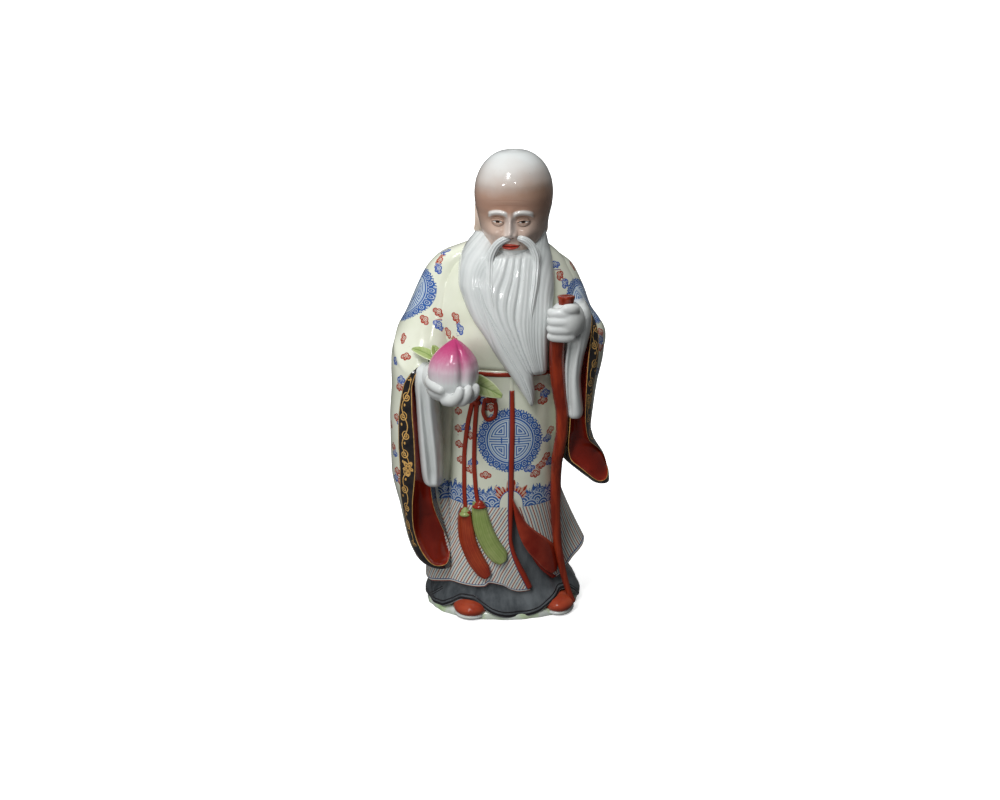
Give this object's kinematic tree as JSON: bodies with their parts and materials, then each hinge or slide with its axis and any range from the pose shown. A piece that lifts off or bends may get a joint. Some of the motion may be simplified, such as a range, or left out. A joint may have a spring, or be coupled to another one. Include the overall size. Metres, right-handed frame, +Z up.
{
  "type": "shou xing figurine",
  "caption": "Standing porcelain figurine of a bearded old man in a wide-sleeved patterned robe, holding a peach and a staff, on a flat foot.",
  "frame": {"origin": "middle of the flat underside, under the middle of the figure", "axes": "+Z up through the head, -Y the way the figure faces, +X to the figure's left"},
  "size_m": [0.171, 0.1455, 0.3601],
  "materials": {
    "porcelain": "white glazed porcelain painted in overglaze enamels, glossy"
  },
  "bodies": {
    "root": {"shou_xing_figurine": "porcelain"}
  },
  "joints": []
}
